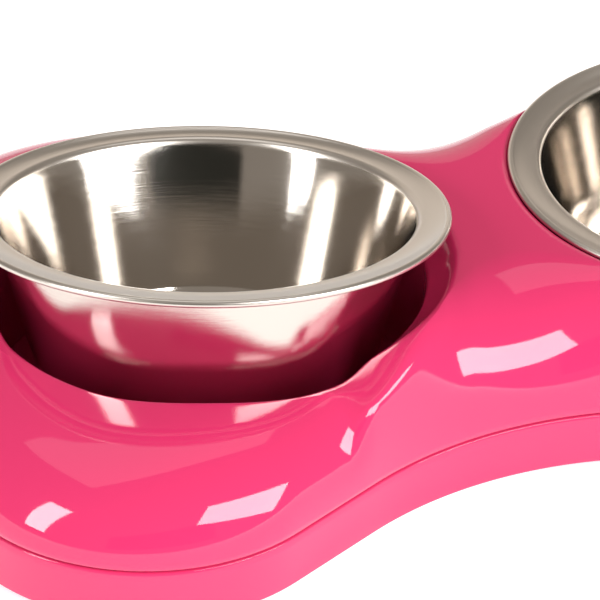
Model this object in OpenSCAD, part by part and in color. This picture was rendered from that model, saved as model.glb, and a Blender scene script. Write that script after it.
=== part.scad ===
// Double pet bowl: a two-shell stand with a bone-shaped plan that carries
// two loose steel bowls. The left bowl is drawn tipped up at its scoop,
// ready to be taken out, and the right bowl is drawn seated.
// Millimetres, +Z up, X along the stand, front towards -Y.
// The origin lies on the floor under the middle of the stand.

/* [Bowls] */
// Radius over the rolled edge of a bowl
rim_r = 84; // [80:0.5:85]
// Diameter of the rolled edge
roll_d = 2.6; // [2.2:0.1:3]
// Width of the flat flange inside the rolled edge
flange_w = 8.8; // [7:0.2:10]
// Thickness of the steel sheet
sheet_t = 0.8; // [0.5:0.1:1.2]
// Slope of the bowl's wall, in degrees from upright
wall_slope = 15.5; // [12:0.5:18]
// Height of a bowl, from its base to the top of its rim
bowl_h = 58; // [50:0.5:59]
// Outer radius between the wall and the base
base_r = 9; // [6:0.5:12]
// Outer radius between the flange and the wall
lip_r = 2.4; // [1.6:0.1:3]
// Height of a seated bowl's base above the floor
base_z = 8; // [7:0.5:9]
// How far the left bowl is tipped up, in degrees
tip_angle = 10.5; // [2:0.5:20]
// Side that the left bowl is tipped from, in degrees from the front, outwards
tip_dir = 19; // [10:1:30]

/* [Stand outline] */
// Gap between the two bowls' rims
rim_gap = 32; // [30:0.5:35]
// How far the waist stays inside the reach of the rims
waist_in = 11; // [8:0.5:14]
// Slope of the straight flanks beside the waist, in degrees
flank = 29.5; // [28:0.5:31]
// How far the four knobs reach past the crest
knob_reach = 42; // [40:0.5:44]
// Distance of a knob's centre from its bowl's, along the stand
knob_out = 36; // [35:0.5:38]
// Distance of a knob's centre from its bowl's, across the stand
knob_y = 51; // [50:0.5:53]
// Radius of the hollow curve at each end
end_r = 160; // [140:2:220]

/* [Stand heights] */
// How far the crest of the stand lies below the rims
crest_drop = 0.9; // [0.8:0.1:1.4]
// Height of the seam between the two shells
seam_h = 22; // [20:0.5:24]
// Width of the seam groove
seam_gap = 0.8; // [0.5:0.1:1.2]
// Half width of the flat crest over the waist
crest_half = 30; // [28:0.5:31]

/* [Seats and scoops] */
// Width of the seat under a rim, inside the rim's own edge
seat_w = 8; // [7:0.1:8.4]
// Gap round the rim at the top of its seat
seat_gap = 3; // [2.4:0.1:3.4]
// Slope of the seat, in degrees
seat_slope = 27; // [26:0.5:30]
// Direction of the finger scoops, in degrees from the front, outwards
scoop_dir = 24; // [20:1:28]
// Depth of the scoops below the crest
scoop_depth = 12.4; // [9:0.2:15]
// Half of the angle over which a scoop keeps its full depth
scoop_flat = 41; // [34:1:44]
// Angle over which a scoop runs out into the crest
scoop_ramp = 30; // [24:1:32]
// Direction of the low back of the crest, in degrees from the back, outwards
back_dir = 8; // [4:1:10]
// Depth of the low back below the crest
back_drop = 2.4; // [1.6:0.1:2.8]
// How far the crest draws in at the low back
back_in = 5.5; // [4:0.5:6]
// Half of the angle over which the back keeps its full depth
back_flat = 42; // [36:1:44]
// Angle over which the low back runs out into the crest
back_ramp = 26; // [20:1:26]

/* [Shells] */
// Wall of the shells
wall = 2.6; // [2.2:0.1:3]
// Thickness of the lower shell's floor
floor_t = 2.2; // [1.8:0.1:2.6]
// Height of the locating lip above the seam
joint_lip_h = 3; // [2:0.5:4]
// Thickness of the locating lip
joint_lip_t = 1.6; // [1.2:0.1:2]
// Height of the lip's root below the seam
joint_root_h = 5; // [3:0.5:7]
// Gap between parts that slide into each other
fit_gap = 0.3; // [0.2:0.05:0.4]
// Thickness of the stiffening ribs
rib_t = 2; // [1.6:0.1:2.4]
// Height of the ring that locates a well's foot
ring_h = 5; // [3:0.5:7]

/* [Feet] */
// Radius of a rubber foot
foot_r = 9; // [7:0.5:10]
// Height of a rubber foot
foot_h = 3.3; // [3:0.1:3.6]
// How far the feet lift the lower shell off the floor
foot_stand = 2; // [1.8:0.1:2.2]
// Rounding of a foot's lower edge
foot_edge = 0.8; // [0.5:0.1:1.2]
// Direction of the feet from the front or the back, outwards, in degrees
foot_dir = 49.3; // [47:0.1:52]
// How far the feet's centres lie outside the crest
foot_past = 6.5; // [6:0.1:7.5]

/* [Screws] */
// Direction of the end screws from the front or the back, outwards, in degrees
screw_dir = 30.3; // [29:0.1:32]
// How far the end screws lie outside the crest
screw_past = 6.5; // [6:0.1:7]
// How far the waist screws lie inside the waist
waist_screw_in = 21; // [20:0.5:22]
// Radius of a screw's shank
shank_r = 1.45; // [1.3:0.05:1.6]
// Length of a screw's shank
shank_l = 16; // [13:0.5:18]
// Radius of a screw's head
head_r = 3.2; // [3:0.1:3.6]
// Height of a screw's head
head_h = 2; // [1.6:0.1:2.4]
// Wall of the screw bosses
boss_wall = 2.2; // [1.8:0.1:2.6]
// Height of the lower bosses above the floor plate
lower_boss_h = 11.8; // [10.5:0.1:13]
// Top of the front bosses, as a share of the height from the seam to the scoop
boss_front_share = 0.897; // [0.89:0.001:0.904]
// Top of the back bosses, as a share of the height from the seam to the low back
boss_back_share = 0.933; // [0.928:0.001:0.938]
// Top of the waist bosses, as a share of the height from the seam to the crest
boss_waist_share = 0.792; // [0.786:0.001:0.8]

/* [Smoothness] */
// Steps along the long arcs of the outline
arc_steps = 6; // [6:2:10]
// Steps from the crest down to the seam
drop_steps = 8; // [8:1:14]
// Steps of the same drop inside the shell
inner_steps = 4; // [3:1:6]
// Sections along the middle line between the two bowls
middle_steps = 3; // [2:1:5]

/* [Hidden] */
$fn = 96;

pink = [0.93, 0.16, 0.42];
steel = [0.72, 0.69, 0.66];
rubber = [0.12, 0.12, 0.12];
screw_steel = [0.6, 0.6, 0.6];

// Heights
rim_h = base_z + bowl_h;
crest_z = rim_h - crest_drop;
scoop_z = crest_z - scoop_depth;
back_z = crest_z - back_drop;
upper_bottom = seam_h + seam_gap / 2;
lower_top = seam_h - seam_gap / 2;
floor_top = foot_stand + floor_t;
well_bottom = floor_top + fit_gap;
boss_seam = floor_top + lower_boss_h;
head_top = boss_seam - boss_wall * 2;

// Radii
roll_r = roll_d / 2;
flange_z = rim_h - roll_r / 2;
well_r = rim_r - seat_w;
seat_r = rim_r + seat_gap;
crest_r = seat_r + seat_gap / 2;
scoop_r = well_r + wall / 2;
tube_r = well_r + wall;
boss_r = shank_r + boss_wall;
socket_r = head_r + fit_gap;
lower_boss_r = socket_r + boss_wall;
// Height lost through the shell's wall where it slopes like the seat
skin = wall / cos(seat_slope);

// Places in the plan
bowl_x = rim_r + rim_gap / 2;
waist_half = rim_r - waist_in;
knob_x = bowl_x + knob_out;
knob_r = crest_r + knob_reach - norm([knob_out, knob_y]);
foot_x = bowl_x + (crest_r + foot_past) * sin(foot_dir);
foot_y = (crest_r + foot_past) * cos(foot_dir);
screw_x = bowl_x + (crest_r + screw_past) * sin(screw_dir);
screw_y = (crest_r + screw_past) * cos(screw_dir);
screw_spots = [for (sx = [-1, 1], sy = [-1, 1]) [sx * screw_x, sy * screw_y],
               for (sy = [-1, 1]) [0, sy * (waist_half - waist_screw_in)]];

// Front, back and waist bosses end inside the shell's skin
boss_front = upper_bottom + (scoop_z - upper_bottom) * boss_front_share;
boss_back = upper_bottom + (back_z - upper_bottom) * boss_back_share;
boss_waist = upper_bottom + (crest_z - upper_bottom) * boss_waist_share;
boss_tops = [boss_front, boss_back, boss_front, boss_back, boss_waist, boss_waist];

// The hollow waist curve touches the two straight flanks
waist_r = ((waist_half - knob_y) * cos(flank) + knob_x * sin(flank) - knob_r)
          / (1 - cos(flank));
waist_y = waist_half + waist_r;
end_x = knob_x + sqrt(pow(knob_r + end_r, 2) - pow(knob_y, 2));
end_turn = atan2(knob_y, end_x - knob_x);
flank_start = -knob_x + knob_r * sin(flank);
flank_end = -waist_r * sin(flank);

// Bearing from the bowl's centre at which the crest leaves the seat for the waist
leave = 60;
leave_x = -bowl_x + crest_r * sin(leave);

function smooth(t) = let (u = max(0, min(1, t))) u * u * (3 - 2 * u);

function polar(r, a) = [r * cos(a), r * sin(a)];

// One quarter of the stand's outline, pulled in by inset: the left front one,
// from the middle of the end to the middle of the waist
function quarter(inset) = concat(
    [for (i = [0 : arc_steps / 2 - 1]) let (a = end_turn * i / (arc_steps / 2))
        [-end_x, 0] + polar(end_r + inset, -a)],
    [for (i = [0 : arc_steps * 2 - 1])
        let (a = 180 - end_turn + (90 + flank + end_turn) * i / (arc_steps * 2))
        [-knob_x, -knob_y] + polar(knob_r - inset, a)],
    [for (i = [0 : arc_steps / 2 - 1])
        let (p = [-knob_x, -knob_y] + polar(knob_r - inset, flank - 90),
             q = [0, -waist_y] + polar(waist_r + inset, flank + 90))
        p + (q - p) * i / (arc_steps / 2)],
    [for (i = [0 : arc_steps]) let (a = 90 + flank * (1 - i / arc_steps))
        [0, -waist_y] + polar(waist_r + inset, a)]);

// The whole outline, anticlockwise from the middle of the left end
function outline(inset = 0) = let (q = quarter(inset), n = len(q) - 1) concat(
    [for (i = [0 : n - 1]) q[i]],
    [for (i = [0 : n - 1]) [-q[n - i][0], q[n - i][1]]],
    [for (i = [0 : n - 1]) -q[i]],
    [for (i = [0 : n - 1]) [q[n - i][0], -q[n - i][1]]]);

// Bearings are taken round the left bowl, from the front, positive to the waist
function bearing_of(p) = atan2(p[0] + bowl_x, -p[1]);
function from_bearing(b, r) = [-bowl_x + r * sin(b), -r * cos(b)];

function scoop_share(b) =
    1 - smooth((abs(b + scoop_dir) - scoop_flat) / scoop_ramp);
// The crest draws in to the well over a wider angle than it drops
function inset_share(b) =
    1 - smooth((abs(b + scoop_dir) - scoop_flat / 2) / (scoop_flat / 2 + scoop_ramp));
// The back of the crest lies lower, so that it stays out of sight behind the rim
function back_share(b) =
    1 - smooth((acos(cos(b + 180 - back_dir)) - back_flat) / back_ramp);
function crest_radius(b) =
    crest_r - (crest_r - scoop_r) * inset_share(b) - back_in * back_share(b);
function crest_height(b) =
    crest_z - scoop_depth * scoop_share(b) - back_drop * back_share(b);

// Bearing that an outline point of the left half is lofted to
function loft_bearing(p) =
    let (b = bearing_of(p),
         side = asin(max(-1, min(1, (p[0] + bowl_x) / crest_r))),
         level = p[1] < 0 ? side : 180 - side,
         t = max(0, min(1, (p[0] - flank_start) / (flank_end - flank_start))),
         run = max(0, (p[0] - leave_x) / -leave_x),
         turn = leave + (atan2(bowl_x, crest_half) - leave) * run)
    run > 0 ? (p[1] < 0 ? turn : 180 - turn)
    : t == 0 ? b : (b < -90 ? b + 360 : b) * (1 - t) + level * t;

// Half width of the crest over the waist, from the seats to the middle
function waist_crest(x) =
    let (t = (x - leave_x) / -leave_x, u = 1 - t,
         y = crest_r * cos(leave), slope = tan(leave) * leave_x)
    y * (1 + 2 * t) * u * u + slope * t * u * u + crest_half * t * t * (3 - 2 * t);

// Crest point above an outline point of the left half, no nearer than r
function crest_place(p, r) = p[0] <= leave_x
    ? let (b = loft_bearing(p)) from_bearing(b, max(r, crest_radius(b)))
    : [p[0], sign(p[1]) * waist_crest(p[0])];

// Height of the seat's cone at a place or a radius
function seat_height(r) = crest_z - (seat_r - r) * tan(seat_slope);
function seat_above(p) = seat_height(norm([p[0] + bowl_x, p[1]]));

// Quarter ellipse from a crest to an outline, cut by the seat's cone. Each
// point is [x, y, height]; sink is the drop from the outer to the inner face.
function drop(crest, top, foot, turns, sink) =
    [for (a = turns)
        let (p = crest + (foot - crest) * sin(a),
             z = top - (top - upper_bottom - sink) * (1 - cos(a)))
        concat(p, min(z, seat_above(p)) - sink)];

// One closed section through the shell: out over the side, back up inside past
// the locating lip, down and up the well, and over the seat. o is its bearing.
function section(crest, crest_in, top, foot, foot_in, o) =
    let (meets = seat_r - (crest_z - top) / tan(seat_slope),
         seat_edge = max(well_r + fit_gap,
                         min(meets, norm(crest + [bowl_x, 0]) - fit_gap)))
    concat(
        drop(crest, top, foot, [for (j = [0 : drop_steps]) 90 * j / drop_steps], 0),
        [concat(foot_in, upper_bottom)],
        [concat(foot_in, upper_bottom + joint_lip_h + fit_gap * 2)],
        drop(crest_in, top, foot_in,
             [for (j = [1 : inner_steps]) 90 - 90 * j / inner_steps], skin),
        [concat(from_bearing(o, tube_r), min(top, seat_height(tube_r)) - skin),
         concat(from_bearing(o, tube_r), well_bottom),
         concat(from_bearing(o, well_r), well_bottom),
         concat(from_bearing(o, well_r), min(top, seat_height(well_r))),
         concat(from_bearing(o, seat_edge), min(top, seat_height(seat_edge)))]);

// The stand's flowing top with its wells: closed sections round the left bowl,
// the same mirrored round the right one, and both meet in the middle of the
// waist. Sections on the middle line have no side, only their inner part.
module shell_form() {
    m = len(outline());
    outer = outline();
    inner = outline(wall);
    at = [for (i = [0 : m / 2]) (m * 3 / 4 + i) % m];
    rounds = [for (i = at)
        let (o = loft_bearing(outer[i]))
        section(crest_place(outer[i], 0), crest_place(outer[i], tube_r + fit_gap * 3),
                crest_height(o), outer[i], inner[i], o)];
    middles = [for (k = [1 : middle_steps])
        let (y = crest_half * (2 * k / (middle_steps + 1) - 1), o = bearing_of([0, y]))
        section([0, y], [0, y], crest_z, [0, y], [0, y], o)];
    sections = concat(rounds, middles);
    n = len(sections);
    r = len(sections[0]);
    points = [for (s = sections, p = s) p];
    faces = [for (i = [0 : n - 1], j = [0 : r - 1])
        if (i < m / 2 || j > r - 7)
            let (k = (i + 1) % n, l = (j + 1) % r)
            each [[i * r + j, k * r + j, i * r + l], [k * r + j, k * r + l, i * r + l]]];
    polyhedron(
        points = concat(points, [for (p = points) [-p[0], p[1], p[2]]]),
        faces = concat(faces, [for (f = faces) [f[2] + n * r, f[1] + n * r, f[0] + n * r]]),
        convexity = 6);
}

module both_sides() {
    children();
    mirror([1, 0, 0]) children();
}

module at_bowls() {
    both_sides() translate([bowl_x, 0, 0]) children();
}

module at_screws() {
    for (p = screw_spots)
        translate([p[0], p[1], 0]) children();
}

// Bosses take the screws from below and run up into the shell's own skin
module upper_shell() {
    color(pink) difference() {
        union() {
            shell_form();
            for (i = [0 : len(screw_spots) - 1])
                translate(concat(screw_spots[i], boss_seam + fit_gap))
                    cylinder(r = boss_r, h = boss_tops[i] - boss_seam - fit_gap);
        }
        at_screws() cylinder(r = shank_r + fit_gap / 6, h = head_top + shank_l + fit_gap);
    }
}

module lower_shell() {
    lip_in = wall + fit_gap;
    color(pink) difference() {
        union() {
            translate([0, 0, foot_stand]) linear_extrude(lower_top - foot_stand)
                difference() {
                    polygon(outline(0));
                    polygon(outline(wall));
                }
            translate([0, 0, foot_stand]) linear_extrude(floor_t) polygon(outline(wall / 2));
            translate([0, 0, lower_top - joint_root_h]) linear_extrude(joint_root_h)
                difference() {
                    polygon(outline(wall / 2));
                    polygon(outline(lip_in + joint_lip_t));
                }
            translate([0, 0, lower_top - joint_root_h / 2])
                linear_extrude(joint_root_h / 2 + seam_gap + joint_lip_h)
                    difference() {
                        polygon(outline(lip_in));
                        polygon(outline(lip_in + joint_lip_t));
                    }
            at_screws() translate([0, 0, foot_stand])
                cylinder(r = lower_boss_r, h = boss_seam - foot_stand);
            for (sx = [-1, 1], sy = [-1, 1]) translate([sx * foot_x, sy * foot_y, foot_stand])
                cylinder(r = foot_r + floor_t, h = foot_h - foot_stand + floor_t);
            at_bowls() translate([0, 0, foot_stand]) difference() {
                cylinder(r = tube_r + fit_gap + rib_t, h = floor_t + ring_h);
                translate([0, 0, floor_t]) cylinder(r = tube_r + fit_gap, h = ring_h * 2);
            }
        }
        at_screws() cylinder(r = socket_r, h = head_top);
        at_screws() cylinder(r = shank_r + fit_gap, h = rim_h);
        for (sx = [-1, 1], sy = [-1, 1]) translate([sx * foot_x, sy * foot_y, 0])
            cylinder(r = foot_r + fit_gap, h = foot_h);
    }
}

// Half section of a bowl in its seated place, as [radius, height] points
module bowl_section() {
    s = wall_slope;
    n = arc_steps;
    corner = rim_r - roll_d - flange_w;
    bend = [corner + lip_r * tan(45 - s / 2), flange_z - lip_r];
    start = bend + polar(lip_r, 180 - s);
    inner = base_r - sheet_t;
    run = (start[1] + inner * sin(s) - base_z - base_r) / cos(s);
    heel = start - run * [sin(s), cos(s)] + polar(inner, 180 - s);
    polygon(concat(
        [[rim_r - roll_r, flange_z]],
        [for (i = [0 : n]) bend + polar(lip_r, 90 + (90 - s) * i / n)],
        [for (i = [0 : n]) heel + polar(inner, -s - (90 - s) * i / n)],
        [[0, base_z + sheet_t], [0, base_z]],
        [for (i = [0 : n]) heel + polar(base_r, -90 + (90 - s) * i / n)],
        [for (i = [0 : n]) bend + polar(lip_r - sheet_t, 180 - s - (90 - s) * i / n)],
        [[rim_r - roll_r, flange_z - sheet_t]]));
}

module seated_bowl() {
    color(steel) rotate_extrude() {
        bowl_section();
        translate([rim_r - roll_r, rim_h - roll_r]) circle(r = roll_r, $fn = 32);
    }
}

// The tipped bowl turns on its own rolled edge, at the back of its seat
module left_bowl() {
    out = [-sin(tip_dir), -cos(tip_dir), 0];
    hinge = [-bowl_x, 0, rim_h - roll_r] - out * (rim_r - roll_r);
    translate(hinge) rotate(a = tip_angle, v = [out[1], -out[0], 0]) translate(-hinge)
        translate([-bowl_x, 0, 0]) seated_bowl();
}

module right_bowl() {
    translate([bowl_x, 0, 0]) seated_bowl();
}

module foot(sx, sy) {
    color(rubber) translate([sx * foot_x, sy * foot_y, 0]) rotate_extrude()
        polygon(concat([[0, 0]],
            [for (i = [0 : arc_steps])
                [foot_r - foot_edge, foot_edge] + polar(foot_edge, -90 + 90 * i / arc_steps)],
            [[foot_r, foot_h], [0, foot_h]]));
}

module screws() {
    color(screw_steel) at_screws() {
        translate([0, 0, head_top]) cylinder(r = shank_r, h = shank_l);
        translate([0, 0, head_top - head_h]) cylinder(r = head_r, h = head_h);
    }
}

upper_shell();
lower_shell();
left_bowl();
right_bowl();
foot(-1, -1);  // foot_front_left
foot(1, -1);  // foot_front_right
foot(-1, 1);  // foot_back_left
foot(1, 1);  // foot_back_right
screws();
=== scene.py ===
# %% [markdown]
# # A double pet bowl
# The object is a glossy plastic stand with a bone-shaped plan, and two steel
# bowls that lie in it on their rims. The left bowl is tipped up at its finger
# scoop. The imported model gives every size. This script dresses it: smooth
# shells, spun bowls, plastic, steel and rubber.

# %% Load the frame
import math
import bmesh
import bpy
from mathutils import Matrix, Quaternion, Vector


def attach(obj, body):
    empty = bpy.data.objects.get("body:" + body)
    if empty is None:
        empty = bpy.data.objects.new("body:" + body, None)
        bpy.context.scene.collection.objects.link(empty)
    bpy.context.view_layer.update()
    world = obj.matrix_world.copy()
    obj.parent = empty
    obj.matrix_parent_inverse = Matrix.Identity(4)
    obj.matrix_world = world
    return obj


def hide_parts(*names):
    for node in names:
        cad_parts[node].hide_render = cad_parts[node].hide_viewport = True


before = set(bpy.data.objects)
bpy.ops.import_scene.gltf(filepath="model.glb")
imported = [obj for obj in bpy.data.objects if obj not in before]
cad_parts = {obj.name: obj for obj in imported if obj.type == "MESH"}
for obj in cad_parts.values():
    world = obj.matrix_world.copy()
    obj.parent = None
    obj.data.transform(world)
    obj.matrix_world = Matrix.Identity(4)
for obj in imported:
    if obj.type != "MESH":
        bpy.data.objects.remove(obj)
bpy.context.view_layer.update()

# %% [markdown]
# The sizes below are the stand's own, in millimetres. They are the ones that
# the solids were drawn from, so each smooth piece lies on its solid. Only the
# scoop and the seats of the bowls follow the real ones a little closer.

# %% Sizes of the stand
MM = 0.001
BOWL_X = 100.0
RIM_H, CREST_Z = 66.0, 65.1
SEAM_LOW, SEAM_HIGH = 21.6, 22.4
WALL, FLOOR_LOW, FLOOR_TOP, WELL_BOTTOM = 2.6, 2.0, 4.2, 4.5
EDGE_ROUND = 0.35


def sin_d(a):
    return math.sin(math.radians(a))


def cos_d(a):
    return math.cos(math.radians(a))


print("height at the rims:", RIM_H, "mm, seam from", SEAM_LOW, "to", SEAM_HIGH)

# %% [markdown]
# The plan of the stand is like a bone. Each quarter of it is four runs that
# touch: the hollow end, the round knob, a short straight flank and the hollow
# waist. A freehand curve could follow it too, but a pencil and a compass draw it
# in a few sizes: every centre follows from the runs touching one another.

# %% Compass points of the outline
WAIST_HALF, FLANK = 73.0, 29.5
KNOB_REACH, KNOB_OUT, KNOB_Y = 130.5, 36.0, 51.0
KNOB_X = BOWL_X + KNOB_OUT
KNOB_R = KNOB_REACH - math.hypot(KNOB_OUT, KNOB_Y)
END_R = 160.0
WAIST_R = (((WAIST_HALF - KNOB_Y) * cos_d(FLANK) + KNOB_X * sin_d(FLANK) - KNOB_R)
           / (1 - cos_d(FLANK)))
waist_y = WAIST_HALF + WAIST_R
end_x = KNOB_X + math.sqrt((KNOB_R + END_R) ** 2 - KNOB_Y ** 2)
end_turn = math.degrees(math.atan2(KNOB_Y, end_x - KNOB_X))
print("waist radius", round(WAIST_R, 1), "end reaches x =", round(-end_x + END_R, 1))

# %% [markdown]
# An inset only changes the radii, so every wall thickness comes from one
# function. All of it is drawn a hair inside the solids' outline, whose round
# corners are cut flat.

# %% The outline
DRAWN_IN = 0.14
END_STEPS, KNOB_STEPS, FLANK_STEPS, WAIST_STEPS = 10, 44, 10, 26


def turn_to(centre, r, a):
    return Vector((centre[0] + r * cos_d(a), centre[1] + r * sin_d(a)))


def quarter(inset):
    """The front left quarter, from the middle of the end to the middle of the waist."""
    inset += DRAWN_IN
    end, knob, waist = (-end_x, 0), (-KNOB_X, -KNOB_Y), (0, -waist_y)
    points = [turn_to(end, END_R + inset, -end_turn * i / END_STEPS) for i in range(END_STEPS)]
    knob_turn = 90 + FLANK + end_turn
    points += [turn_to(knob, KNOB_R - inset, 180 - end_turn + knob_turn * i / KNOB_STEPS)
               for i in range(KNOB_STEPS)]
    a = turn_to(knob, KNOB_R - inset, FLANK - 90)
    b = turn_to(waist, WAIST_R + inset, FLANK + 90)
    points += [a.lerp(b, i / FLANK_STEPS) for i in range(FLANK_STEPS)]
    points += [turn_to(waist, WAIST_R + inset, 90 + FLANK * (1 - i / WAIST_STEPS))
               for i in range(WAIST_STEPS + 1)]
    return points


def left_outline(inset=0.0):
    """From the middle of the front waist, round the left end, to the back waist."""
    front = quarter(inset)[::-1]
    return front + [Vector((p.x, -p.y)) for p in front[-2::-1]]


def whole_outline(inset=0.0):
    half = left_outline(inset)
    return half + [Vector((-p.x, p.y)) for p in half[-2:0:-1]]


print("outline points:", len(whole_outline()))

# %% [markdown]
# The top flows from the outline up to a crest. Round a bowl the crest is a
# circle, so its points are named by their bearing round the left bowl. At the
# scoop the crest dips and draws in to the well, and behind the bowl it lies a
# little lower than the rim. Each of these is a share from 0 to 1 that rises and
# falls in a smooth step, so they join without a kink.

# %% The crest round a bowl
WELL_R, SEAT_R, CREST_R, SCOOP_R = 76.0, 85.4, 86.1, 77.3
SCOOP_DIR, SCOOP_DEPTH, SCOOP_FLAT, SCOOP_RAMP = 29.0, 12.4, 46.0, 30.0
CROWN, CROWN_DIR, CROWN_RAMP = 2.2, 17.0, 30.0
BACK_DIR, BACK_DROP, BACK_IN, BACK_FLAT, BACK_RAMP = 8.0, 2.4, 3.1, 42.0, 26.0


def smooth(t):
    t = min(1.0, max(0.0, t))
    return t * t * (3 - 2 * t)


def bearing(p):
    """Angle round the left bowl from the front, positive towards the waist."""
    return math.degrees(math.atan2(p.x + BOWL_X, -p.y))


def from_bearing(b, r):
    return Vector((-BOWL_X + r * sin_d(b), -r * cos_d(b)))


def scoop_share(b):
    return 1 - smooth((abs(b + SCOOP_DIR) - SCOOP_FLAT) / SCOOP_RAMP)


def back_share(b):
    off = math.degrees(math.acos(max(-1.0, min(1.0, cos_d(b + 180 - BACK_DIR)))))
    return 1 - smooth((off - BACK_FLAT) / BACK_RAMP)


def crest_round(b):
    """Crest point on the bearing b: its radius draws in and its height drops."""
    half = SCOOP_FLAT / 2
    drawn = 1 - smooth((abs(b + SCOOP_DIR) - half) / (half + SCOOP_RAMP))
    c = from_bearing(b, CREST_R - (CREST_R - SCOOP_R) * drawn - BACK_IN * back_share(b)).to_3d()
    crown = CROWN * (1 - smooth(abs(b + CROWN_DIR) / CROWN_RAMP))
    c.z = CREST_Z - SCOOP_DEPTH * scoop_share(b) - BACK_DROP * back_share(b) + crown
    return c


print("crest at the scoop:", [round(v, 1) for v in crest_round(-SCOOP_DIR)])

# %% [markdown]
# Over the waist the crest leaves the circle and runs across to the other bowl.
# The run is a cubic curve that starts along the circle and ends level, and a
# smoother step with no jump in curvature blends the two, because a lamp's
# reflection would show such a jump as a bend.

# %% The crest over the waist
LEAVE, BLEND, CREST_HALF = 50.0, 26.0, 30.0
leave_x = -BOWL_X + CREST_R * sin_d(LEAVE)
flank_start, flank_end = -KNOB_X + KNOB_R * sin_d(FLANK), -WAIST_R * sin_d(FLANK)


def loft_bearing(p):
    """Bearing of the crest point over p, which turns level with p along the flank."""
    b = bearing(p)
    t = min(1.0, max(0.0, (p.x - flank_start) / (flank_end - flank_start)))
    if t == 0:
        return b
    side = math.degrees(math.asin(min(1.0, max(-1.0, (p.x + BOWL_X) / CREST_R))))
    level = side if p.y < 0 else 180 - side
    t = smooth(t)
    return (b + 360 if b < -90 else b) * (1 - t) + level * t


def waist_crest(x):
    t = (x - leave_x) / -leave_x
    u = 1 - t
    y, slope = CREST_R * cos_d(LEAVE), math.tan(math.radians(LEAVE)) * leave_x
    return y * (1 + 2 * t) * u * u + slope * t * u * u + CREST_HALF * t * t * (3 - 2 * t)


def crest_of(p):
    """Crest point above an outline point of the left half, and the bearing of its well point."""
    b = loft_bearing(p)
    c = crest_round(b)
    across = min(1.0, max(0.0, 0.5 + (p.x - leave_x) / BLEND))
    if across > 0:
        over = Vector((p.x, math.copysign(waist_crest(p.x), p.y), CREST_Z))
        c = c.lerp(over, across ** 3 * (across * (6 * across - 15) + 10))
    t = (p.x - leave_x) / -leave_x
    if t <= 0:
        return c, b
    turn = LEAVE + (bearing(Vector((0, -CREST_HALF))) - LEAVE) * t
    return c, turn if p.y < 0 else 180 - turn


print("crest at the waist:", [round(v, 1) for v in crest_of(left_outline()[0])[0]])

# %% [markdown]
# A bowl's rim lies on a seat, a narrow cone inside the crest. The real mould has
# no knife edges: a smooth minimum rounds the edge where the seat meets the top,
# and a quarter circle rounds the lip of the well, wider at the scoop, where a
# finger goes over it.

# %% Seat and lip of the well
SEAT_RISE, SEAT_SOFT, SEAT_REACH = 1.0, 0.9, 8.0
LIP_ROUND, SCOOP_LIP_ROUND = 1.0, 1.6


def soft_min(a, b, width):
    h = max(width - abs(a - b), 0.0) / width
    return min(a, b) - h * h * width / 4


def seated_height(x, y, top, scoop):
    """Height of the finished top where the loft alone has the height top."""
    r = math.hypot(x + BOWL_X, y)
    seat = CREST_Z + (r - SEAT_R) * SEAT_RISE
    z = soft_min(top, seat, SEAT_SOFT) if r < SEAT_R + SEAT_REACH else top
    lip = LIP_ROUND + SCOOP_LIP_ROUND * scoop
    if r < WELL_R + lip:
        z -= lip * (1 - math.sqrt(max(0.0, 1 - ((WELL_R + lip - r) / lip) ** 2)))
    return z


print("height at the lip of the well:", round(seated_height(-BOWL_X, WELL_R, CREST_Z, 0), 2))

# %% [markdown]
# From the crest the side falls to the seam in a quarter of an ellipse. Where the
# crest lies close to the outline a full quarter would bulge like a tyre, so there
# the arc starts later, with a soft edge at the crest.

# %% The side
SIDE_RUN, TURN_SOFT = 30.0, 0.01
SIDE_LOW = SEAM_HIGH + EDGE_ROUND


def first_turn(run):
    """Angle at which the arc starts over a side that runs out as far as run."""
    short = 1 - max(WALL, run) / SIDE_RUN
    return math.degrees(math.asin((short + math.sqrt(short * short + TURN_SOFT)) / (2 + TURN_SOFT)))


def side_drop(crest, first, turned):
    return crest.z - (crest.z - SIDE_LOW) * (1 - math.sqrt(1 - turned * turned) / cos_d(first))


def side_height(q, crest, out):
    """Height at q of the side that falls from the crest to the seam at out."""
    run = (out - crest.xy).length
    share = max(0.0, 1 - (out - q).length / run)
    first = first_turn(run)
    return side_drop(crest, first, min(1.0, sin_d(first) + share * (1 - sin_d(first))))


print("the arc starts at", round(first_turn(20.0), 1), "degrees over a side of 20 mm")

# %% [markdown]
# Towards the waist the scoop isn't a dip of the crest. There the whole side runs
# on as if there were no scoop, and the scoop is cut into it: a floor that rises
# with the scoop's ramp and falls a little outwards, joined to the side by a
# rounded edge. A dip alone would turn the flank towards the front and give it a
# reflection that the real one doesn't have.

# %% The cut towards the waist
CUT_FROM, CUT_BLEND, CUT_LIFT, CUT_ROUND = 14.0, 7.0, 2.0, 5.0
FLOOR_RUN, FLOOR_FALL = 41.0, 30.7


def cut_share(b):
    return smooth((b - CUT_FROM) / CUT_BLEND) if -90 < b < LEAVE else 0.0


def cut_height(q, crest, whole, out, cut):
    """Height at q between the dipped side (cut 0) and the whole side with the cut (cut 1)."""
    along = max(0.0, math.hypot(q.x + BOWL_X, q.y) - SCOOP_R) / FLOOR_RUN
    fall = FLOOR_FALL * (1 - math.sqrt(max(0.0, 1 - along ** 2)))
    depth = (SCOOP_DEPTH + CUT_LIFT) * scoop_share(bearing(q))
    floor = CREST_Z + CUT_LIFT - depth - fall
    cut_z = soft_min(side_height(q, whole, out), floor, CUT_ROUND)
    return side_height(q, crest, out) * (1 - cut) + cut_z * cut


print("share of the cut at a bearing of 18 degrees:", round(cut_share(18.0), 2))
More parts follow.
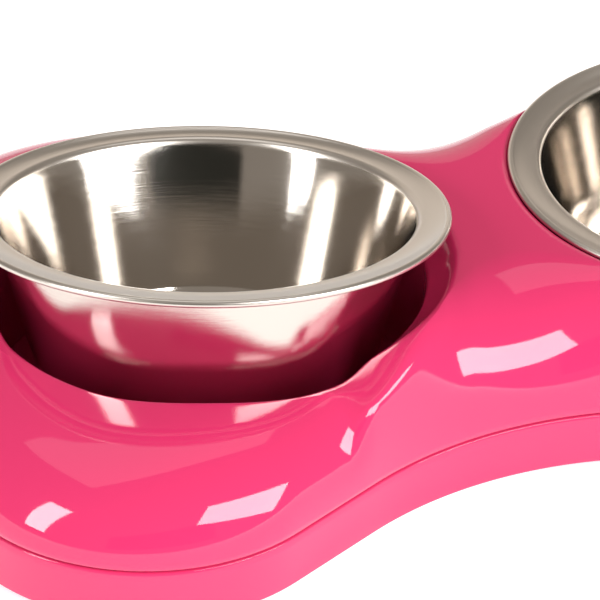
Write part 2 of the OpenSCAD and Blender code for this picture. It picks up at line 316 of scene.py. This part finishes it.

# %% [markdown]
# Every new piece goes the same way. A grid of faces has each of its points moved
# to its place. Then doubled points are merged, the faces are turned outward and
# millimetres become metres. The piece rides its body and stands for the solid that
# it covers. Its material is given to it later.

# %% Helpers for pieces
DOUBLE, SLIVER = 0.001, 0.0001


def moved_grid(columns, rows, place):
    """A grid of faces whose point (i, j) is moved to place(i, j), in millimetres."""
    bm = bmesh.new()
    bmesh.ops.create_grid(bm, x_segments=columns, y_segments=rows, size=1.0)
    for v in bm.verts:
        i = round((v.co.x + 1) / 2 * columns)
        j = round((v.co.y + 1) / 2 * rows)
        v.co = place(i, j)
    return bm


def linked(name, bm):
    mesh = bpy.data.meshes.new(name)
    bm.to_mesh(mesh)
    bm.free()
    piece = bpy.data.objects.new(name, mesh)
    bpy.context.scene.collection.objects.link(piece)
    return piece


def finish_piece(bm, name, body, node=None, smooth_shade=True):
    bmesh.ops.remove_doubles(bm, verts=bm.verts, dist=DOUBLE)
    bmesh.ops.dissolve_degenerate(bm, edges=bm.edges, dist=SLIVER)
    bmesh.ops.recalc_face_normals(bm, faces=bm.faces)
    bmesh.ops.scale(bm, vec=(MM, MM, MM), verts=bm.verts)
    for f in bm.faces:
        f.smooth = smooth_shade
    piece = linked(name, bm)
    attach(piece, body)
    if node:
        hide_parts(node)
    print(name, len(piece.data.polygons), "faces")
    return piece


# %% [markdown]
# The upper shell is moulded in one piece. It could be lofted through rings, but
# one grid shows its order: one direction runs round the left bowl and back along
# the middle, the other from the seam up the side, over the crest, down the seat
# and down the well. The height of the top is a function of the place, so where
# the grid's lines run doesn't change the form.

# %% Columns and rows of the upper shell
MID_STEPS, LIP_START, LIP_DRAW = 22, 3.0, 1.9
EDGE_ROWS, SIDE_ROWS, LAND_ROWS, LIP_ROWS, TUBE_ROWS = 3, 40, 16, 16, 3
edge_lines = (left_outline(WALL), left_outline(EDGE_ROUND), left_outline())
outer = edge_lines[-1]
mid = [Vector((0, CREST_HALF - 2 * CREST_HALF * k / MID_STEPS, CREST_Z))
       for k in range(1, MID_STEPS)]
columns = len(outer) + len(mid)
rows = EDGE_ROWS + SIDE_ROWS + LAND_ROWS + LIP_ROWS + TUBE_ROWS
print("grid of the upper shell:", columns, "by", rows)

# %% [markdown]
# Each column of the grid hangs on one point of the outline, or of the middle, and
# knows the crest above it. The rows then give the edge at the seam, the side, the
# land between crest and well, the round lip and the wall of the well.


# %% Points of the upper shell
def column_at(i):
    """Outline point, crest, crest without the scoop, bearing, and shares of scoop and cut."""
    if i >= len(outer):
        crest = mid[i - len(outer)]
        return crest.xy, crest, crest, bearing(crest), 0.0, 0.0
    crest, b = crest_of(outer[i])
    whole = from_bearing(b, CREST_R).to_3d()
    whole.z = CREST_Z
    return outer[i], crest, whole, b, scoop_share(b), cut_share(b)


def shell_point(i, j):
    i = i % columns
    out, crest, whole, b, scoop, cut = column_at(i)

    def top_at(q, dipped=crest.z):
        z = cut_height(q, crest, whole, out, cut) if cut > 0 else dipped
        return Vector((q.x, q.y, seated_height(q.x, q.y, z, scoop)))

    if j < EDGE_ROWS and i < len(outer):
        edge = edge_lines[j][i].to_3d()
        edge.z = SIDE_LOW if j == EDGE_ROWS - 1 else SEAM_HIGH
        return edge
    j = max(0, j - EDGE_ROWS)
    start = crest.xy.lerp(whole.xy, cut)
    if j <= SIDE_ROWS:
        if i >= len(outer):
            return top_at(out)
        first = first_turn((out - crest.xy).length)
        a = first + (90 - first) * (1 - j / SIDE_ROWS) ** 1.5
        share = (sin_d(a) - sin_d(first)) / (1 - sin_d(first))
        return top_at(start.lerp(out, share), side_drop(crest, first, sin_d(a)))
    j -= SIDE_ROWS
    lip_at = from_bearing(b, WELL_R + LIP_START - LIP_DRAW * smooth(scoop * 2))
    if j <= LAND_ROWS:
        return top_at(start.lerp(lip_at, j / LAND_ROWS))
    j -= LAND_ROWS
    if j <= LIP_ROWS:
        reach = (lip_at - Vector((-BOWL_X, 0))).length - WELL_R
        return top_at(from_bearing(b, WELL_R + reach * (1 - sin_d(90 * j / LIP_ROWS))))
    tube = top_at(from_bearing(b, WELL_R))
    tube.z += (WELL_BOTTOM - tube.z) * (j - LIP_ROWS) / TUBE_ROWS
    return tube


print("lip of the well at the waist:",
      [round(v, 1) for v in shell_point(0, EDGE_ROWS + SIDE_ROWS + LAND_ROWS + LIP_ROWS)])

# %% [markdown]
# The left half is mirrored to make the right one. The faces that lie in the
# mirror plane go first, because two of them back to back would crease the shading
# along the middle.

# %% The upper shell
NEAR = 1e-4


def verts_in(geom):
    return [g for g in geom if isinstance(g, bmesh.types.BMVert)]


bm = moved_grid(columns, rows, shell_point)
in_mirror = [f for f in bm.faces if all(abs(v.co.x) < NEAR for v in f.verts)]
bmesh.ops.delete(bm, geom=in_mirror, context="FACES")
mirrored = bmesh.ops.duplicate(bm, geom=bm.verts[:] + bm.edges[:] + bm.faces[:])["geom"]
bmesh.ops.scale(bm, vec=(-1, 1, 1), verts=verts_in(mirrored))
upper = finish_piece(bm, "upper_shell_skin", "stand", "upper_shell")

# %% [markdown]
# The lower shell is a tray. Its wall could be an extruded outline, but its edges
# are rounded, so it is drawn as one ring of grid whose rows step in with the
# rounding, from the seam down to the underside.

# %% Wall of the lower shell
BOTTOM_ROUND, ROUND_STEPS = 1.4, 6
round_top, wall_top = FLOOR_LOW + BOTTOM_ROUND, SEAM_LOW - EDGE_ROUND
steps = range(1, ROUND_STEPS + 1)
profile = [(WALL, SEAM_LOW), (EDGE_ROUND, SEAM_LOW), (0.0, wall_top)]
profile += [(0.0, wall_top + (round_top - wall_top) * k / ROUND_STEPS) for k in steps]
profile += [(BOTTOM_ROUND * (1 - cos_d(90 * k / ROUND_STEPS)),
             round_top - BOTTOM_ROUND * sin_d(90 * k / ROUND_STEPS)) for k in steps]


def ring_grid(lines, heights):
    count = len(lines[0])
    return moved_grid(count, len(lines) - 1, lambda i, j: Vector(
        (lines[j][i % count].x, lines[j][i % count].y, heights[j])))


bm = ring_grid([whole_outline(inset) for inset, z in profile], [z for inset, z in profile])
bmesh.ops.remove_doubles(bm, verts=bm.verts, dist=0.0005)
print("wall of the lower shell:", len(bm.faces), "faces")

# %% [markdown]
# The underside has pockets for the four feet and holes for the six screw heads.
# One fill spans between the lower edge and their circles, and each circle is then
# pushed up and closed, which is quicker and cleaner than cutting ten cylinders.

# %% Underside of the lower shell
FIXING_R, FOOT_DIR, SCREW_DIR, WAIST_SCREW_Y = 95.0, 49.3, 30.3, 52.0
FOOT_RECESS_R, FOOT_RECESS_TOP, HEAD_R, HEAD_TOP = 9.3, 3.3, 3.5, 11.6


def round_bowls(turn):
    """The four mirrored places that lie FIXING_R from a bowl's centre."""
    x, y = BOWL_X + FIXING_R * sin_d(turn), FIXING_R * cos_d(turn)
    return [(sx * x, sy * y) for sx in (-1, 1) for sy in (-1, 1)]


rim_edges = [e for e in bm.edges
             if e.is_boundary and all(abs(v.co.z - FLOOR_LOW) < NEAR for v in e.verts)]
recesses = [(x, y, FOOT_RECESS_R, FOOT_RECESS_TOP) for x, y in round_bowls(FOOT_DIR)]
recesses += [(x, y, HEAD_R, HEAD_TOP)
             for x, y in round_bowls(SCREW_DIR) + [(0.0, -WAIST_SCREW_Y), (0.0, WAIST_SCREW_Y)]]
hole_edges = []
for x, y, r, top in recesses:
    circle = bmesh.ops.create_circle(bm, segments=48, radius=r,
                                     matrix=Matrix.Translation((x, y, FLOOR_LOW)))["verts"]
    hole_edges.append([e for e in bm.edges if e.is_wire and e.verts[0] in circle])
bmesh.ops.triangle_fill(bm, use_beauty=True, use_dissolve=False,
                        edges=rim_edges + [e for h in hole_edges for e in h])
for (x, y, r, top), edges in zip(recesses, hole_edges):
    pushed = bmesh.ops.extrude_edge_only(bm, edges=edges)["geom"]
    raised = verts_in(pushed)
    bmesh.ops.translate(bm, vec=(0, 0, top - FLOOR_LOW), verts=raised)
    bmesh.ops.contextual_create(bm, geom=[g for g in pushed if isinstance(g, bmesh.types.BMEdge)
                                          and all(v in raised for v in g.verts)])
lower = finish_piece(bm, "lower_shell_skin", "stand", "lower_shell")

# %% [markdown]
# Behind the seam stands the lip that locates the two shells, and at the foot of
# each well lies the tray's floor. Both show only through a gap, but a gap with
# nothing behind it would look like a hole into the room.

# %% Lip and floors
LIP_GAP, LIP_LOW, LIP_HIGH, WELL_FLOOR_R = 0.3, 16.0, 25.4, 78.5
lip_line = whole_outline(WALL + LIP_GAP)
lip_piece = finish_piece(ring_grid([lip_line, lip_line], [LIP_LOW, LIP_HIGH]),
                         "locating_lip", "stand")
well_floors = []
for side, name in ((-1, "left_well_floor"), (1, "right_well_floor")):
    bm = bmesh.new()
    bmesh.ops.create_circle(bm, cap_ends=True, segments=96, radius=WELL_FLOOR_R,
                            matrix=Matrix.Translation((side * BOWL_X, 0, FLOOR_TOP)))
    well_floors.append(finish_piece(bm, name, "stand", smooth_shade=False))

# %% [markdown]
# A bowl is drawn from one steel disc: a base with a rounded heel, a sloping
# wall, a flat flange and a rolled edge. Half of its section is set out first,
# inside and outside, as arcs that touch straight runs.

# %% Section of a bowl
RIM_R, ROLL_R, SHEET = 84.0, 1.3, 0.8
SLOPE, BASE_R, LIP_R, FLANGE_W = 15.5, 9.0, 2.4, 8.8
FLANGE_Z, BASE_Z = RIM_H - 0.65, 8.0
ROLL_END, ROLL_UNDER = -128, 0.62
BASE_STEPS, HEEL_STEPS, WALL_STEPS, BEND_STEPS, ROLL_STEPS = 6, 14, 10, 8, 20


def arc(centre, r, start, end, count):
    return [tuple(turn_to(centre, r, start + (end - start) * k / count)) for k in range(count + 1)]


def between(a, b, count):
    """The points that part the straight run from a to b into count equal steps."""
    return [(a[0] + (b[0] - a[0]) * k / count, a[1] + (b[1] - a[1]) * k / count)
            for k in range(1, count)]


def bowl_section():
    corner = RIM_R - 2 * ROLL_R - FLANGE_W
    bend = (corner + LIP_R * math.tan(math.radians(45 - SLOPE / 2)), FLANGE_Z - LIP_R)
    slope_top = turn_to(bend, LIP_R, 180 - SLOPE)
    heel_r = BASE_R - SHEET
    run = (slope_top[1] + heel_r * sin_d(SLOPE) - BASE_Z - BASE_R) / cos_d(SLOPE)
    heel = turn_to((slope_top[0] - run * sin_d(SLOPE), slope_top[1] - run * cos_d(SLOPE)),
                   heel_r, 180 - SLOPE)
    roll = (RIM_R - ROLL_R, RIM_H - ROLL_R)
    meet = math.degrees(math.asin((FLANGE_Z - roll[1]) / ROLL_R))
    middle, heel_start = (0.0, BASE_Z + SHEET), (heel[0], BASE_Z + SHEET)
    section = [middle] + between(middle, heel_start, BASE_STEPS)
    section += arc(heel, heel_r, -90, -SLOPE, HEEL_STEPS)
    section += between(section[-1], slope_top, WALL_STEPS)
    section += arc(bend, LIP_R, 180 - SLOPE, 90, BEND_STEPS)
    section += arc(roll, ROLL_R, 180 - meet, ROLL_END, ROLL_STEPS)
    section += [(roll[0] - ROLL_R * ROLL_UNDER, FLANGE_Z - SHEET)]
    section += arc(bend, LIP_R - SHEET, 90, 180 - SLOPE, BEND_STEPS)
    section += between(section[-1], turn_to(heel, BASE_R, -SLOPE), WALL_STEPS)
    section += arc(heel, BASE_R, -SLOPE, -90, HEEL_STEPS)
    return section + between((heel[0], BASE_Z), (0.0, BASE_Z), BASE_STEPS) + [(0.0, BASE_Z)]


print("points in the section:", len(bowl_section()))

# %% [markdown]
# Spinning the section round the axis is nearly how the real bowl is made. The
# spin also gives the map for its finish: the turn goes into the first number of
# the map and the height into the second, so polishing rings can follow the wall.
# Over the level base the height stays 0, and the rings run on from one value.

# %% Spinning a bowl
SPIN_STEPS, MAP_MM, MAP_FROM_R = 192, 100.0, 50.0


def spun_bowl(name, body, place):
    bm = bmesh.new()
    verts = [bm.verts.new((r, 0, z)) for r, z in bowl_section()]
    edges = [bm.edges.new(pair) for pair in zip(verts, verts[1:])]
    bmesh.ops.spin(bm, geom=verts + edges, cent=(0, 0, 0), axis=(0, 0, 1),
                   angle=2 * math.pi, steps=SPIN_STEPS, use_merge=True)
    bmesh.ops.remove_doubles(bm, verts=bm.verts, dist=0.002)
    spin_map = bm.loops.layers.uv.new("spin")
    for f in bm.faces:
        around = [math.atan2(c.vert.co.y, c.vert.co.x) / (2 * math.pi) for c in f.loops]
        for c, turn in zip(f.loops, around):
            turn = turn + 1 if max(around) - turn > 0.5 else turn
            height = c.vert.co.z / MAP_MM if c.vert.co.xy.length > MAP_FROM_R else 0.0
            c[spin_map].uv = (turn, height)
    bmesh.ops.transform(bm, matrix=place, verts=bm.verts)
    return finish_piece(bm, name, body, body)


# %% [markdown]
# The left bowl rests as someone tips it up by its scoop: it is turned on the far
# side of its rolled edge, which is also where its joint is. The right bowl lies
# level on its seat. Each is spun round the axis first and then moved as a whole,
# which keeps the turn out of the section.

# %% The two bowls
TIP, TIP_DIR = 10.5, 19.0
outward = Vector((-sin_d(TIP_DIR), -cos_d(TIP_DIR), 0))
hinge = Vector((-BOWL_X, 0, RIM_H - ROLL_R)) - outward * (RIM_R - ROLL_R)
tip = (Matrix.Translation(hinge)
       @ Matrix.Rotation(math.radians(TIP), 4, Vector((outward.y, -outward.x, 0)))
       @ Matrix.Translation(-hinge))
print("hinge at", [round(v, 1) for v in hinge])
left = spun_bowl("left_bowl_spun", "left_bowl", tip @ Matrix.Translation((-BOWL_X, 0, 0)))
right = spun_bowl("right_bowl_spun", "right_bowl", Matrix.Translation((BOWL_X, 0, 0)))

# %% [markdown]
# Each finish is a small graph of nodes. Writing the arithmetic with operators
# keeps it readable: a Wire wraps one socket, and adding or multiplying wires
# makes the Math node that does it. A Finish adds every other node by one method.


# %% Shader helpers
class Wire:
    """One socket of a node. Operators on wires add Math nodes."""

    def __init__(self, tree, socket):
        self.tree, self.socket = tree, socket

    def maths(self, operation, *others, clamp=False):
        node = self.tree.nodes.new("ShaderNodeMath")
        node.operation, node.use_clamp = operation, clamp
        for slot, value in zip(node.inputs, (self, *others)):
            if isinstance(value, Wire):
                self.tree.links.new(value.socket, slot)
            else:
                slot.default_value = value
        return Wire(self.tree, node.outputs[0])

    def __add__(self, other):
        return self.maths("ADD", other)

    def __sub__(self, other):
        return self.maths("SUBTRACT", other)

    def __mul__(self, other):
        return self.maths("MULTIPLY", other)

    __radd__, __rmul__ = __add__, __mul__

    def __rsub__(self, other):
        return self * -1 + other

    def clamp(self):
        return self.maths("ADD", 0.0, clamp=True)

    def into(self, socket):
        self.tree.links.new(self.socket, socket)


class Finish:
    """A material with one Principled BSDF, and the nodes that feed it."""

    def __init__(self, name):
        self.material = bpy.data.materials.new(name)
        self.material.use_nodes = True
        self.tree = self.material.node_tree
        self.shader = self.tree.nodes["Principled BSDF"]

    def node(self, kind, output=0, **values):
        """Adds a node, sets its options and inputs by name, and returns one output."""
        made = self.tree.nodes.new(kind)
        for key, value in values.items():
            if hasattr(made, key):
                setattr(made, key, value)
                continue
            self.feed(made, key, value)
        return Wire(self.tree, made.outputs[output])

    def feed(self, node, key, value):
        socket = node.inputs[key.replace("_", " ")]
        if isinstance(value, Wire):
            value.into(socket)
        else:
            socket.default_value = value

    def set(self, **values):
        for key, value in values.items():
            self.feed(self.shader, key, value)

    def bump(self, height, strength, distance):
        self.set(Normal=self.node("ShaderNodeBump", Height=height, Strength=strength,
                                  Distance=distance))


def paint(finish, *pieces):
    for piece in pieces:
        piece.data.materials.clear()
        piece.data.materials.append(finish.material)
    print(finish.material.name, "on", len(pieces))


# %% [markdown]
# The stand is moulded in a hot pink plastic with a polished skin. Its colour is
# even, its gloss isn't perfect: the skin waves a little and holds faint wipe
# marks, which break the edges of the lamps that it reflects. A second, coloured
# layer isn't needed, because the plastic is coloured right through.


# %% Pink plastic
def pink_plastic():
    f = Finish("pink_plastic")
    where = f.node("ShaderNodeTexCoord", output="Object")
    waves = f.node("ShaderNodeTexNoise", Vector=where, Scale=22.0, Detail=1.0)
    wipes = f.node("ShaderNodeTexNoise", Vector=where, Scale=60.0, Detail=4.0)
    f.set(Base_Color=(0.64, 0.031, 0.127, 1.0), IOR=1.5)
    f.set(Roughness=wipes * 0.05 + 0.03)
    f.bump(waves, 0.10, 0.0005)
    return f


paint(pink_plastic(), upper, lower, lip_piece, *well_floors)

# %% [markdown]
# The bowls are drawn from stainless steel. The inside is polished but keeps
# fine rings from the polishing wheel, so reflections smear along the rings.
# The flange is satin. Both come from one graph that reads the height and the
# turn stored in the bowl's own map.


# %% Steel
FLANGE_START, ALONG_RINGS, ACROSS_RINGS = 62.5, 6.0, 900.0


def bowl_steel():
    f = Finish("bowl_steel")
    spin_map = f.node("ShaderNodeUVMap", uv_map="spin")
    around, up = (f.node("ShaderNodeSeparateXYZ", output=axis, Vector=spin_map) for axis in "XY")
    drawn_out = f.node("ShaderNodeCombineXYZ", X=around * ALONG_RINGS, Y=up * ACROSS_RINGS)
    rings = f.node("ShaderNodeTexNoise", Vector=drawn_out, Scale=1.0, Detail=3.0)
    flange = (up * MAP_MM - FLANGE_START).clamp()
    f.set(Base_Color=(0.62, 0.575, 0.525, 1.0), Metallic=1.0)
    f.set(Roughness=rings * 0.08 + flange * 0.20 + 0.05)
    f.bump(rings, 0.05, 0.0002)
    return f


paint(bowl_steel(), left, right)

# %% [markdown]
# The feet are black rubber with a dull, faintly grained skin. The screws are
# zinc-plated steel with a little haze. Both are seen only from below, so the
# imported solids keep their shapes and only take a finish.


# %% Rubber and screws
def rubber():
    f = Finish("foot_rubber")
    grain = f.node("ShaderNodeTexNoise", Scale=900.0, Detail=2.0,
                   Vector=f.node("ShaderNodeTexCoord", output="Object"))
    f.set(Base_Color=(0.03, 0.03, 0.03, 1.0), Roughness=grain * 0.2 + 0.55)
    f.bump(grain, 0.3, 0.0002)
    return f


def zinc():
    f = Finish("screw_zinc")
    haze = f.node("ShaderNodeTexNoise", Scale=400.0, Detail=2.0,
                  Vector=f.node("ShaderNodeTexCoord", output="Object"))
    f.set(Base_Color=(0.55, 0.55, 0.53, 1.0), Metallic=1.0, Roughness=haze * 0.2 + 0.25)
    return f


paint(rubber(), *(node for name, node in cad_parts.items() if name.startswith("foot")))
paint(zinc(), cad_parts["screws"])

# %% [markdown]
# Polished steel shows the room more than itself, so the room is set out first. A
# floor that glows a little stays white under the stand. A taupe wall behind it
# colours the inside of the bowls, and a black card behind the camera gives the
# steel its depth.


# %% Floor, wall and card
def panel(name, place, colour, glow=None):
    """A flat piece of the studio: a square of 2 m, moved by a matrix."""
    bm = bmesh.new()
    bmesh.ops.create_grid(bm, x_segments=1, y_segments=1, size=1.0, matrix=place)
    piece = linked(name, bm)
    f = Finish(name)
    f.set(Base_Color=colour, Roughness=0.9)
    if glow:
        f.set(Emission_Color=glow, Emission_Strength=0.55)
    paint(f, piece)


def upright(where, half_wide, half_high):
    return (Matrix.Translation(where) @ Matrix.Rotation(math.pi / 2, 4, "X")
            @ Matrix.Diagonal((half_wide, half_high, 1, 1)))


panel("floor", Matrix.Scale(3.0, 4), (0.9, 0.9, 0.9, 1.0), (1.0, 1.0, 1.0, 1.0))
panel("card", upright((-0.65, -2.1, 0.8), 1.15, 0.5), (0.02, 0.022, 0.018, 1.0))
panel("back_wall", upright((0.5, 2.6, 0.75), 2.0, 0.7), (0.6, 0.55, 0.5, 1.0),
      (0.60, 0.54, 0.48, 1.0))

# %% [markdown]
# The rest of the room is one even warm grey. Nothing else is needed there,
# because only the lamps and the panels have edges that a reflection shows.

# %% The rest of the room
WARM_GREY, GREY_STRENGTH = (0.50, 0.45, 0.40, 1), 0.65
world = bpy.data.worlds.new("room")
bpy.context.scene.world = world
world.use_nodes = True
background = world.node_tree.nodes["Background"]
background.inputs["Color"].default_value = WARM_GREY
background.inputs["Strength"].default_value = GREY_STRENGTH
print("room of grey", WARM_GREY[:3], "at strength", GREY_STRENGTH)

# %% [markdown]
# Three soft boxes light the stand. A narrow upright one on the left gives the
# steel its bright strips, a wide one that leans gives the bright pane at the
# waist, and a large one overhead opens the shadows. Soft boxes are rectangles of
# light, as in a studio, because their shape shows in every polished face.

# %% Lamps
AIM = Vector((0, 0, 0.03))


def place_at(azimuth, rise, far):
    """A place round the stand: azimuth from the back towards +X, rise above the floor."""
    level = far * cos_d(rise)
    return Vector((level * sin_d(azimuth), level * cos_d(azimuth), far * sin_d(rise)))


def soft_box(name, where, wide, high, power, roll=0.0):
    data = bpy.data.lights.new(name, "AREA")
    data.shape, data.size, data.size_y, data.energy = "RECTANGLE", wide, high, power
    lamp = bpy.data.objects.new(name, data)
    lamp.location = where
    lamp.rotation_mode = "QUATERNION"
    facing = (AIM - where).to_track_quat("-Z", "Y")
    lamp.rotation_quaternion = facing @ Quaternion((0, 0, 1), math.radians(roll))
    bpy.context.scene.collection.objects.link(lamp)
    print(name, "at", [round(v, 2) for v in where])


soft_box("box_left", place_at(-103, 26, 1.6), 0.30, 1.0, 14)
soft_box("box_shoulder", place_at(148, 28, 1.8), 1.6, 0.62, 40, roll=-35)
soft_box("box_top", place_at(0, 75, 1.8), 1.8, 0.9, 5)

# %% [markdown]
# The camera stands where the photograph's did. It was found from the two rim
# ellipses: a long lens, about a metre and a half away, looking down by a third
# of a right angle. Its three directions and its place are written out as they
# were measured, the place in radii of a rim from a point level with the rims.

# %% Camera
RIM_LEVEL = 0.0655
right_way = Vector((0.94927346, -0.31417665, 0.01315032))
up_way = Vector((0.15892409, 0.51542934, 0.84206635))
look_way = Vector((0.27133565, 0.79726133, -0.53921363))
camera = bpy.data.objects.new("camera", bpy.data.cameras.new("camera"))
turn = Matrix((right_way, up_way, -look_way)).transposed()
camera.rotation_mode = "QUATERNION"
camera.rotation_quaternion = turn.to_quaternion()
in_rim_radii = Vector((-5.82454605, -14.82428663, 9.70805822))
camera.location = in_rim_radii * (RIM_R * MM) + Vector((0, 0, RIM_LEVEL))
camera.data.lens, camera.data.sensor_width = 270.0, 36.0
camera.data.clip_start, camera.data.clip_end = 0.05, 20.0
bpy.context.scene.collection.objects.link(camera)
bpy.context.scene.camera = camera
bpy.context.scene.view_settings.view_transform = "Standard"
print("camera at", [round(v, 2) for v in camera.location])
